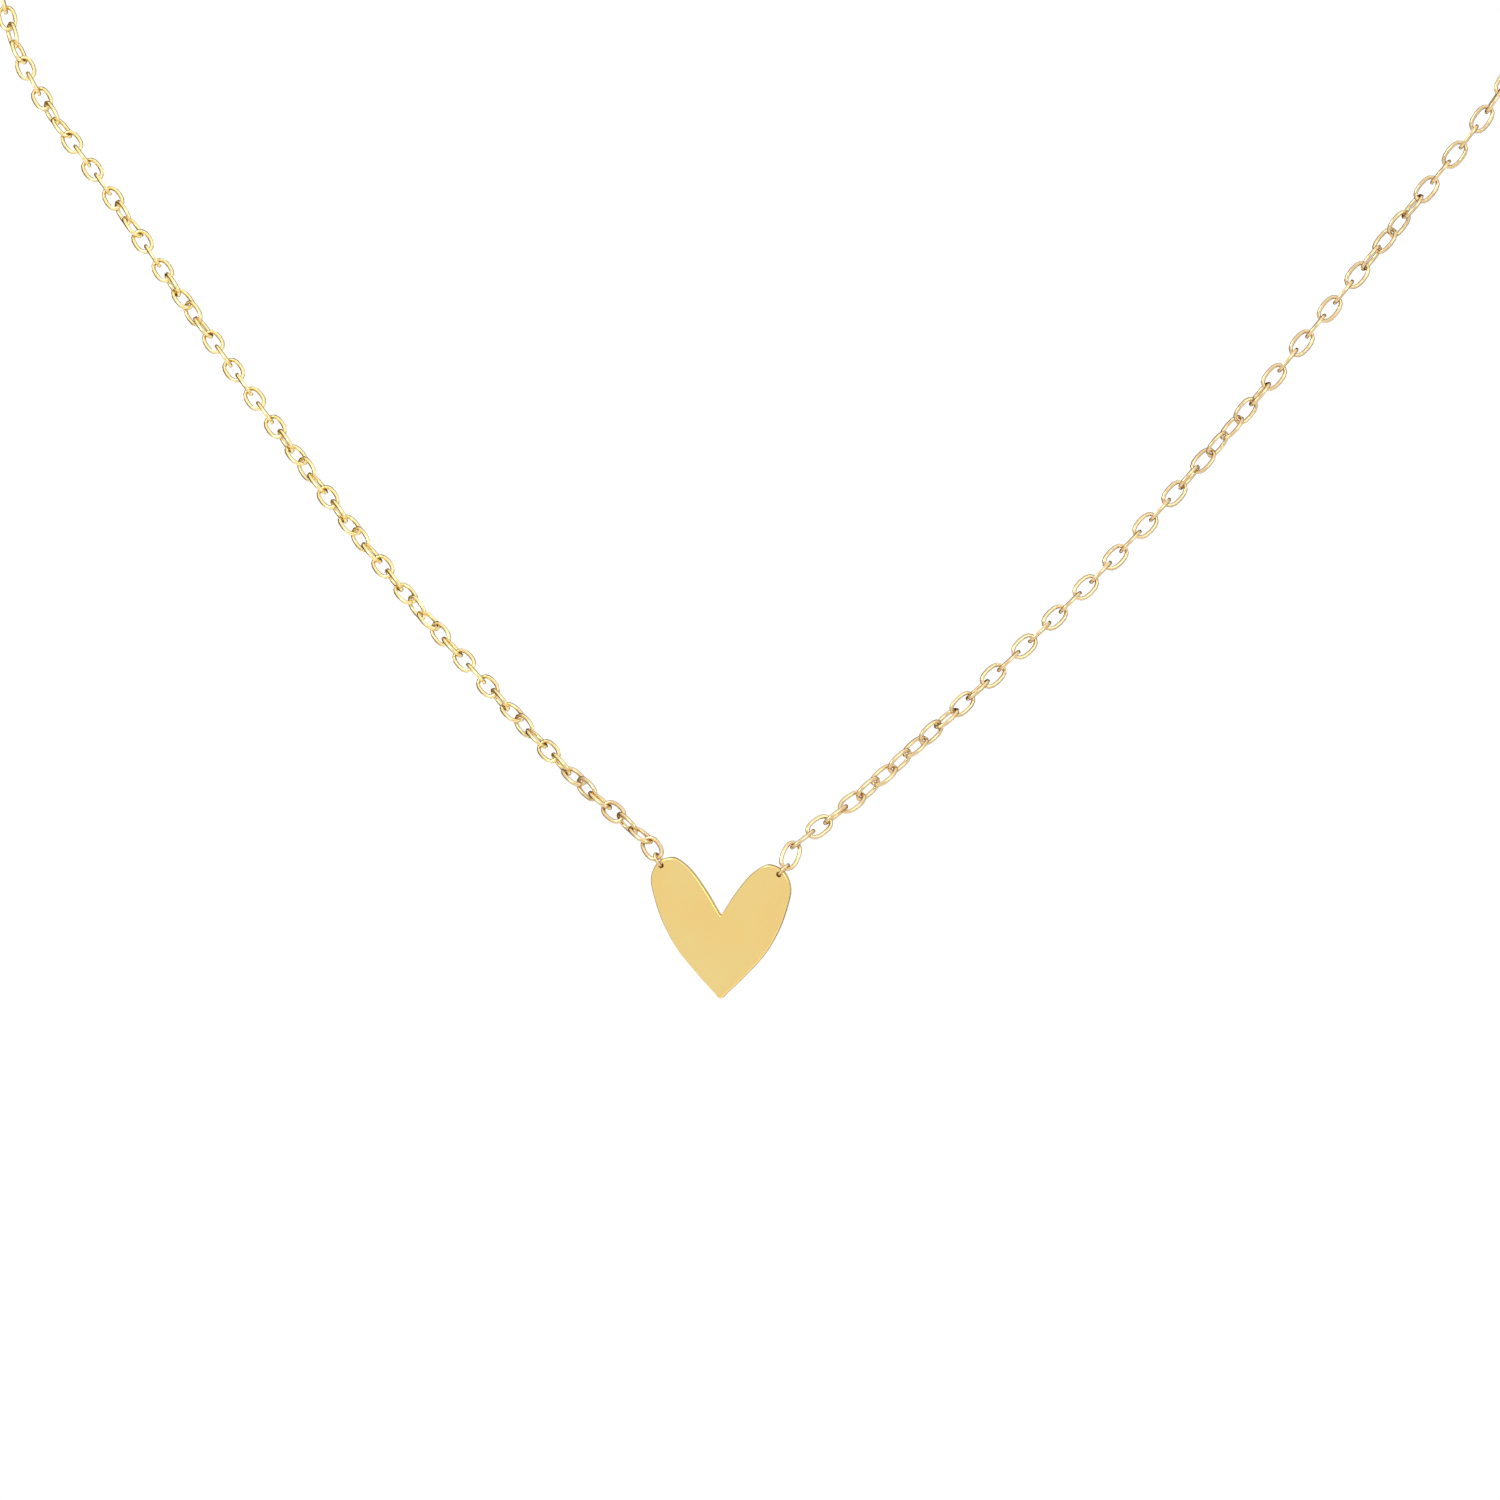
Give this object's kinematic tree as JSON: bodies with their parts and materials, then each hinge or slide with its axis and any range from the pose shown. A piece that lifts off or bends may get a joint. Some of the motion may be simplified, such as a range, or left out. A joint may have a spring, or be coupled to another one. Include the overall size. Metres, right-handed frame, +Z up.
{
  "type": "pendant necklace",
  "caption": "Fine oval-link cable chain necklace with a flat polished heart plate held at both lobes by jump rings, closed at the nape by a lobster clasp.",
  "frame": {"origin": "at the nape, in the middle of the clasp, where the chain bears on the back of the neck", "axes": "+X to the viewer's right, -Y the way the heart faces, +Z up, in the shape the necklace takes when worn"},
  "size_m": [0.1275, 0.1314, 0.1165],
  "materials": {
    "heart_gold": "polished",
    "chain_gold": "polished",
    "clasp_gold": "polished",
    "spring_steel": "satin"
  },
  "bodies": {
    "clasp": {"clasp_body": "clasp_gold", "clasp_pin": "clasp_gold", "clasp_spring": "spring_steel"},
    "neck_chain": {"left_back_link_01": "chain_gold", "left_back_link_02": "chain_gold", "left_back_run_01": "chain_gold", "left_back_run_02": "chain_gold", "left_back_run_03": "chain_gold", "left_back_run_04": "chain_gold", "left_shoulder_link_back": "chain_gold", "right_back_link_01": "chain_gold", "right_back_link_02": "chain_gold", "right_back_run_01": "chain_gold", "right_back_run_02": "chain_gold", "right_back_run_03": "chain_gold", "right_back_run_04": "chain_gold", "right_shoulder_link_back": "chain_gold"},
    "front_chain": {"left_front_run_01": "chain_gold", "left_front_run_02": "chain_gold", "left_front_run_03": "chain_gold", "left_front_run_04": "chain_gold", "left_front_run_05": "chain_gold", "left_shoulder_link_front": "chain_gold", "right_front_run_01": "chain_gold", "right_front_run_02": "chain_gold", "right_front_run_03": "chain_gold", "right_front_run_04": "chain_gold", "right_shoulder_link_front": "chain_gold"},
    "heart": {"heart": "heart_gold"},
    "left_heart_ring": {"left_heart_ring": "chain_gold"},
    "right_heart_ring": {"right_heart_ring": "chain_gold"},
    "clasp_ring": {"clasp_ring": "chain_gold"},
    "end_ring": {"end_ring": "chain_gold"},
    "clasp_lever": {"clasp_lever": "clasp_gold"},
    "left_link_01": {"left_link_01": "chain_gold"},
    "left_link_02": {"left_link_02": "chain_gold"},
    "left_link_03": {"left_link_03": "chain_gold"},
    "left_link_04": {"left_link_04": "chain_gold"},
    "left_link_05": {"left_link_05": "chain_gold"},
    "left_link_06": {"left_link_06": "chain_gold"},
    "left_link_07": {"left_link_07": "chain_gold"},
    "left_link_08": {"left_link_08": "chain_gold"},
    "right_link_01": {"right_link_01": "chain_gold"},
    "right_link_02": {"right_link_02": "chain_gold"},
    "right_link_03": {"right_link_03": "chain_gold"},
    "right_link_04": {"right_link_04": "chain_gold"},
    "right_link_05": {"right_link_05": "chain_gold"},
    "right_link_06": {"right_link_06": "chain_gold"},
    "right_link_07": {"right_link_07": "chain_gold"},
    "right_link_08": {"right_link_08": "chain_gold"}
  },
  "joints": [
    {"name": "front_swing", "type": "hinge", "parent": "neck_chain", "child": "front_chain", "pos_m": [0, -0.06312, -0.04009], "axis": [-1, 0, 0], "range_deg": [0, 60]},
    {"name": "heart_swing", "type": "hinge", "parent": "front_chain", "child": "heart", "pos_m": [0.01702, -0.129, -0.10428], "axis": [-1, 0, 0], "range_deg": [-18, 18]},
    {"name": "left_heart_ring_turn", "type": "hinge", "parent": "front_chain", "child": "left_heart_ring", "pos_m": [0.01231, -0.129, -0.10426], "axis": [-0.829, 0, -0.5592], "range_deg": [-30, 30]},
    {"name": "left_link_01_twist", "type": "hinge", "parent": "front_chain", "child": "left_link_01", "pos_m": [0.01157, -0.12838, -0.10361], "axis": [-0.6609, 0.5307, 0.5307], "range_deg": [-5, 5]},
    {"name": "left_link_02_twist", "type": "hinge", "parent": "front_chain", "child": "left_link_02", "pos_m": [0.0104, -0.12758, -0.10288], "axis": [-0.7985, 0.4647, 0.3828], "range_deg": [-5, 5]},
    {"name": "left_link_03_twist", "type": "hinge", "parent": "front_chain", "child": "left_link_03", "pos_m": [0.00912, -0.12684, -0.10228], "axis": [-0.8089, 0.458, 0.3686], "range_deg": [-5, 5]},
    {"name": "left_link_04_twist", "type": "hinge", "parent": "front_chain", "child": "left_link_04", "pos_m": [0.00782, -0.12611, -0.10169], "axis": [-0.8114, 0.4564, 0.3651], "range_deg": [-5, 5]},
    {"name": "left_link_05_twist", "type": "hinge", "parent": "front_chain", "child": "left_link_05", "pos_m": [0.00653, -0.12538, -0.1011], "axis": [-0.804, 0.4612, 0.3754], "range_deg": [-5, 5]},
    {"name": "left_link_06_twist", "type": "hinge", "parent": "front_chain", "child": "left_link_06", "pos_m": [0.00526, -0.12463, -0.10049], "axis": [-0.7915, 0.469, 0.392], "range_deg": [-5, 5]},
    {"name": "left_link_07_twist", "type": "hinge", "parent": "front_chain", "child": "left_link_07", "pos_m": [0.004, -0.12388, -0.09985], "axis": [-0.7787, 0.4764, 0.4082], "range_deg": [-5, 5]},
    {"name": "left_link_08_twist", "type": "hinge", "parent": "front_chain", "child": "left_link_08", "pos_m": [0.00276, -0.12311, -0.09919], "axis": [-0.7677, 0.4825, 0.4217], "range_deg": [-5, 5]},
    {"name": "right_heart_ring_turn", "type": "hinge", "parent": "front_chain", "child": "right_heart_ring", "pos_m": [0.02173, -0.129, -0.10429], "axis": [-0.766, 0, 0.6428], "range_deg": [-30, 30]},
    {"name": "right_link_01_twist", "type": "hinge", "parent": "front_chain", "child": "right_link_01", "pos_m": [0.022, -0.12834, -0.10338], "axis": [0.1803, 0.5597, 0.8088], "range_deg": [-5, 5]},
    {"name": "right_link_02_twist", "type": "hinge", "parent": "front_chain", "child": "right_link_02", "pos_m": [0.02255, -0.12731, -0.10236], "axis": [0.5043, 0.7274, 0.4653], "range_deg": [-5, 5]},
    {"name": "right_link_03_twist", "type": "hinge", "parent": "front_chain", "child": "right_link_03", "pos_m": [0.02336, -0.12613, -0.10163], "axis": [0.5078, 0.742, 0.4376], "range_deg": [-5, 5]},
    {"name": "right_link_04_twist", "type": "hinge", "parent": "front_chain", "child": "right_link_04", "pos_m": [0.02417, -0.12494, -0.10093], "axis": [0.5071, 0.739, 0.4436], "range_deg": [-5, 5]},
    {"name": "right_link_05_twist", "type": "hinge", "parent": "front_chain", "child": "right_link_05", "pos_m": [0.02498, -0.12377, -0.10019], "axis": [0.5029, 0.7218, 0.4756], "range_deg": [-5, 5]},
    {"name": "right_link_06_twist", "type": "hinge", "parent": "front_chain", "child": "right_link_06", "pos_m": [0.02578, -0.12263, -0.0994], "axis": [0.498, 0.7036, 0.5069], "range_deg": [-5, 5]},
    {"name": "right_link_07_twist", "type": "hinge", "parent": "front_chain", "child": "right_link_07", "pos_m": [0.02658, -0.12151, -0.09857], "axis": [0.494, 0.6896, 0.5295], "range_deg": [-5, 5]},
    {"name": "right_link_08_twist", "type": "hinge", "parent": "front_chain", "child": "right_link_08", "pos_m": [0.02737, -0.12042, -0.09772], "axis": [0.4912, 0.6808, 0.5434], "range_deg": [-5, 5]},
    {"name": "clasp_roll", "type": "hinge", "parent": "neck_chain", "child": "clasp", "pos_m": [0, 0, 0], "axis": [1, 0, 0], "range_deg": [-15, 15]},
    {"name": "clasp_lever_open", "type": "hinge", "parent": "clasp", "child": "clasp_lever", "pos_m": [-0.00102, 0, 0.00045], "axis": [0, 1, 0], "range_deg": [0, 14], "stiffness_Nm_per_rad": 0.004, "springref_deg": -8.59, "deforming": ["clasp_spring"]},
    {"name": "clasp_ring_turn", "type": "hinge", "parent": "neck_chain", "child": "clasp_ring", "pos_m": [-0.00493, 0, 0], "axis": [1, 0, 0], "range_deg": [-12, 12]},
    {"name": "end_ring_turn", "type": "hinge", "parent": "neck_chain", "child": "end_ring", "pos_m": [0.00458, 0, 0], "axis": [1, 0, 0], "range_deg": [-12, 12]}
  ]
}
